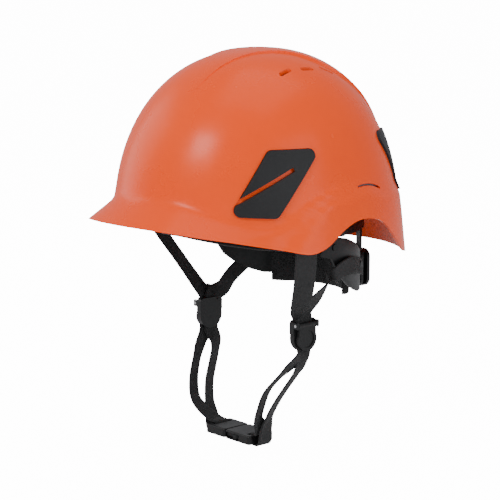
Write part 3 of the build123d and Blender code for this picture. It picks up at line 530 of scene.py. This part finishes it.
# %%
crown_low, crown_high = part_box("crown_straps")
foot_z = crown_low[2]
hub_z = crown_high[2] - 1.3 * MM
band_wall = 1.4 * MM
hub_radius = 19 * MM
reaches = {0: -crown_low[1], 60: 0.087, 120: 0.089, 180: crown_high[1], 240: 0.089, 300: 0.087}
crown_parts = bmesh.new()
crown_threads = bmesh.new()
crown_uv = crown_parts.loops.layers.uv.new("UVMap")
for turn, reach in reaches.items():
    a = math.radians(turn)
    outward = Vector((math.sin(a), -math.cos(a), 0))
    across = (math.cos(a), math.sin(a), 0)
    half_x, half_z = (reach - band_wall / 2) / MM, (hub_z - foot_z) / MM
    stations = []
    for k in range(13):
        t = math.radians(84) * k / 12
        place = outward * half_x * math.cos(t) + Vector((0, 0, foot_z / MM + half_z * math.sin(t)))
        stations.append((tuple(place), across))
    strap, route = webbing(f"crown_strap_{turn}_woven", stations, 18 * MM, band_wall, "helmet",
                           crown_shader.material, 2.4 * MM)
    if turn == 0:
        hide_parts("crown_straps")
    total = route[-1][3]
    sewn(crown_threads, route, total - 14 * MM, total - 3 * MM, 6.5 * MM, band_wall, True)
    sewn(crown_threads, route, 12 * MM, 22 * MM, 6.5 * MM, band_wall, False)
new_piece("crown_sewing", crown_threads, "helmet", thread_shader.material)

bmesh.ops.create_circle(crown_parts, cap_ends=True, segments=72, radius=hub_radius)
disc = bmesh.ops.extrude_face_region(crown_parts, geom=crown_parts.faces[:])
lifted = [v for v in disc["geom"] if isinstance(v, bmesh.types.BMVert)]
bmesh.ops.translate(crown_parts, verts=lifted, vec=(0, 0, 3.0 * MM))
rim = [e for e in crown_parts.edges if e.calc_face_angle(0) > 0.6]
bmesh.ops.bevel(crown_parts, geom=rim, offset=0.9 * MM, segments=3, profile=0.5, affect="EDGES", material=-1)
bmesh.ops.translate(crown_parts, verts=crown_parts.verts, vec=(0, 0, crown_high[2] - 3.2 * MM))
for face in crown_parts.faces:
    for loop in face.loops:
        loop[crown_uv].uv = (loop.vert.co.x + 0.5, loop.vert.co.y)
new_piece("crown_hub", crown_parts, "helmet", crown_shader.material)
print("crown webbing", len(reaches), "bands")

# %% [markdown]
# ## Padded pieces
# Each pad starts from its CAD form. Cloth pressure lets the free faces crown while the glued face stays.
# The brow pad gets bound upper and lower edges.

# %%
def applied(piece, modifier_kind, **settings):
    """Adds one modifier, applies its result to the mesh and takes it off again."""
    modifier = piece.modifiers.new("step", modifier_kind)
    for key, value in settings.items():
        setattr(modifier, key, value)
    graph = bpy.context.evaluated_depsgraph_get()
    result = bpy.data.meshes.new_from_object(piece.evaluated_get(graph))
    piece.modifiers.remove(modifier)
    old = piece.data
    piece.data = result
    bpy.data.meshes.remove(old)


def puffed(node, name, material, is_glued, voxel, limit):
    """A pad: remeshed evenly, blown up a little by cloth pressure, held where it is glued."""
    mesh = nodes[node].data.copy()
    mesh.materials.clear()
    pad = bpy.data.objects.new(name, mesh)
    bpy.context.scene.collection.objects.link(pad)
    applied(pad, "REMESH", mode="VOXEL", voxel_size=voxel, adaptivity=0.0)
    applied(pad, "SMOOTH", factor=0.5, iterations=3)
    start = [v.co.copy() for v in pad.data.vertices]
    held = pad.vertex_groups.new(name="glued")
    held.add([i for i, co in enumerate(start) if is_glued(co)], 1.0, "REPLACE")
    cloth = pad.modifiers.new("cloth", "CLOTH")
    soft = cloth.settings
    soft.quality, soft.mass = 6, 0.3
    soft.tension_stiffness = soft.compression_stiffness = 12
    soft.bending_stiffness = 1.5
    soft.use_pressure, soft.uniform_pressure_force = True, 4.0
    soft.vertex_group_mass = "glued"
    soft.effector_weights.gravity = 0
    cloth.collision_settings.use_collision = False
    cloth.point_cache.frame_start, cloth.point_cache.frame_end = 1, 20
    for step in range(1, 21):
        bpy.context.scene.frame_set(step)
    graph = bpy.context.evaluated_depsgraph_get()
    blown = [v.co.copy() for v in pad.evaluated_get(graph).data.vertices]
    pad.modifiers.remove(cloth)
    bpy.context.scene.frame_set(1)
    for vertex, before, after in zip(pad.data.vertices, start, blown):
        move = after - before
        vertex.co = before + move * min(1.0, limit / max(move.length, 1e-9))
    pad.vertex_groups.clear()
    applied(pad, "SMOOTH", factor=0.5, iterations=2)
    pad.data.materials.append(material)
    for polygon in pad.data.polygons:
        polygon.use_smooth = True
    smoother = pad.modifiers.new("finer", "SUBSURF")
    smoother.levels = smoother.render_levels = 1
    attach(pad, "helmet")
    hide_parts(node)
    made[name] = pad
    return pad


def edge_lines(node, lowest, spacing):
    """Points along a pad's upper or lower edge, found from its CAD form by angle round the head."""
    found = {}
    for vertex in nodes[node].data.vertices:
        co = vertex.co
        key = round(math.degrees(math.atan2(co.x, -co.y)) / spacing)
        found.setdefault(key, []).append(co)
    line = []
    for key in sorted(found):
        group = found[key]
        extreme = min(c.z for c in group) if lowest else max(c.z for c in group)
        near = [c for c in group if abs(c.z - extreme) < 2.5 * MM]
        reach = sum(math.hypot(c.x, c.y) for c in near) / len(near)
        a = math.radians(key * spacing)
        line.append(Vector((reach * math.sin(a), -reach * math.cos(a), extreme)))
    return line


def bound_edge(name, points, radius):
    """Piping round an edge: a tube with a woven binding's UV."""
    relaxed = points[:]
    for _ in range(3):
        relaxed = [relaxed[0]] + [(a + 2 * b + c) / 4 for a, b, c in zip(relaxed, relaxed[1:], relaxed[2:])] \
            + [relaxed[-1]]
    bm = bmesh.new()
    uv = bm.loops.layers.uv.new("UVMap")
    around = 10
    rings, travel, total = [], [], 0.0
    for i, place in enumerate(relaxed):
        forward = (relaxed[min(i + 1, len(relaxed) - 1)] - relaxed[max(i - 1, 0)]).normalized()
        side = forward.cross(Vector((0, 0, 1))).normalized()
        up = side.cross(forward).normalized()
        total += (place - relaxed[i - 1]).length if i else 0.0
        travel.append(total)
        rings.append([bm.verts.new(place + (side * math.cos(2 * math.pi * k / around) * 1.5
                                            + up * math.sin(2 * math.pi * k / around)) * radius)
                      for k in range(around)])
    for i in range(len(rings) - 1):
        for k in range(around):
            n = (k + 1) % around
            face = bm.faces.new((rings[i][k], rings[i][n], rings[i + 1][n], rings[i + 1][k]))
            for loop, (c, r) in zip(face.loops, [(k, i), (k + 1, i), (k + 1, i + 1), (k, i + 1)]):
                loop[uv].uv = (0.5 + c * radius * 0.7, travel[r])
    bm.faces.new(rings[0])
    bm.faces.new(rings[-1][::-1])
    return new_piece(name, bm, "helmet", binding_shader.material)


band_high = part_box("front_headband")[1]
GLUED = 0.975              # share of the outer face's reach from which a pad is held
ring_half = band_high[0] - 2.4 * MM
ring_back = 1.0 * MM
nape_half, nape_length = 68.5 * MM, 88.5 * MM


def near_band(co):
    """On the pad's outer face, which is stuck to the headband."""
    length = ring_half + 20 * MM
    return math.hypot(co.x / ring_half, (co.y - ring_back) / length) > GLUED


def near_rear_band(co):
    """The same for the nape pad, whose outer face is on the ratchet and the rear bands."""
    return math.hypot(co.x / nape_half, (co.y - ring_back) / nape_length) > GLUED


brow = puffed("brow_pad", "brow_pad_knitted", brow_shader.material,
              near_band, 2.6 * MM, 2.4 * MM)
nape = puffed("nape_pad", "nape_pad_knitted", nape_shader.material,
              near_rear_band, 2.4 * MM, 2.2 * MM)
bound_edge("brow_binding_lower", edge_lines("brow_pad", True, 3.0), 1.2 * MM)
bound_edge("brow_binding_upper", edge_lines("brow_pad", False, 3.0), 1.2 * MM)
print("pads", len(brow.data.vertices), len(nape.data.vertices))

# %% [markdown]
# ## Stage, light and camera
# A pale seamless floor, a broad soft light from the front left and above, a fill and a low light from behind.

# %%
def stage_mesh(name, bm):
    mesh = bpy.data.meshes.new(name)
    bm.to_mesh(mesh)
    bm.free()
    piece = bpy.data.objects.new(name, mesh)
    bpy.context.scene.collection.objects.link(piece)
    return piece


floor_bm = bmesh.new()
bmesh.ops.create_grid(floor_bm, x_segments=2, y_segments=2, size=30)
bmesh.ops.translate(floor_bm, verts=floor_bm.verts, vec=(0, 0, cad_low[2] - 0.012))
floor = stage_mesh("floor", floor_bm)
floor_shader = Shader("floor", (0.88, 0.88, 0.88), 0.7)
floor_shader.tint(floor_shader.ramp(floor_shader.noise(3.0, 3.0), 0.3, 0.7, 0.0, 1.0), (0.9, 0.9, 0.9))
floor_rays = floor_shader.add("ShaderNodeLightPath")
floor_glow = floor_shader.math("MULTIPLY", floor_rays.outputs["Is Camera Ray"], 14.0)
floor_shader.surface.inputs["Emission Color"].default_value = (1, 1, 1, 1)
floor_shader.join(floor_glow, floor_shader.surface.inputs["Emission Strength"])
floor_side = floor_shader.add("ShaderNodeNewGeometry")
floor_shader.join(floor_shader.math("SUBTRACT", 1.0, floor_side.outputs["Backfacing"]),
                  floor_shader.surface.inputs["Alpha"])
floor.data.materials.append(floor_shader.material)


def softbox(name, place, target, size, power):
    data = bpy.data.lights.new(name, "AREA")
    data.shape, data.size, data.size_y = "RECTANGLE", *size
    data.energy = power
    lamp = bpy.data.objects.new(name, data)
    lamp.location = place
    lamp.rotation_euler = (Vector(target) - Vector(place)).to_track_quat("-Z", "Y").to_euler()
    bpy.context.scene.collection.objects.link(lamp)
    return lamp


middle = (0, 0, 0.03)
softbox("key", (0.25, -1.7, 1.35), middle, (0.8, 0.6), 20)
softbox("top", (0.2, 0.1, 1.7), middle, (1.4, 1.4), 8)
softbox("fill", (1.9, 0.3, 0.5), middle, (1.2, 1.2), 9)
softbox("left", (-1.5, -0.6, 0.6), middle, (1.0, 1.2), 6)
softbox("low", (0.9, -1.1, -0.12), middle, (0.9, 0.3), 1.5)

world = bpy.data.worlds.new("studio")
world.use_nodes = True
sky = next(n for n in world.node_tree.nodes if n.type == "BACKGROUND")
sky.inputs["Color"].default_value = (0.95, 0.96, 1.0, 1)
rays = world.node_tree.nodes.new("ShaderNodeLightPath")
seen = world.node_tree.nodes.new("ShaderNodeMapRange")
seen.inputs["To Min"].default_value = 0.55
seen.inputs["To Max"].default_value = 16.0
world.node_tree.links.new(rays.outputs["Is Camera Ray"], seen.inputs["Value"])
world.node_tree.links.new(seen.outputs["Result"], sky.inputs["Strength"])
bpy.context.scene.world = world

camera_data = bpy.data.cameras.new("camera")
camera_data.lens = 116.6
camera_data.sensor_width = 36
camera = bpy.data.objects.new("camera", camera_data)
camera.location = (1.0347, -0.9317, 0.2313)
aim = Vector((0.0026, -0.0117, -0.0078))
camera.rotation_euler = (aim - camera.location).to_track_quat("-Z", "Y").to_euler()
camera_data.clip_start, camera_data.clip_end = 0.05, 100
bpy.context.scene.collection.objects.link(camera)
bpy.context.scene.camera = camera
print("stage and camera ready")
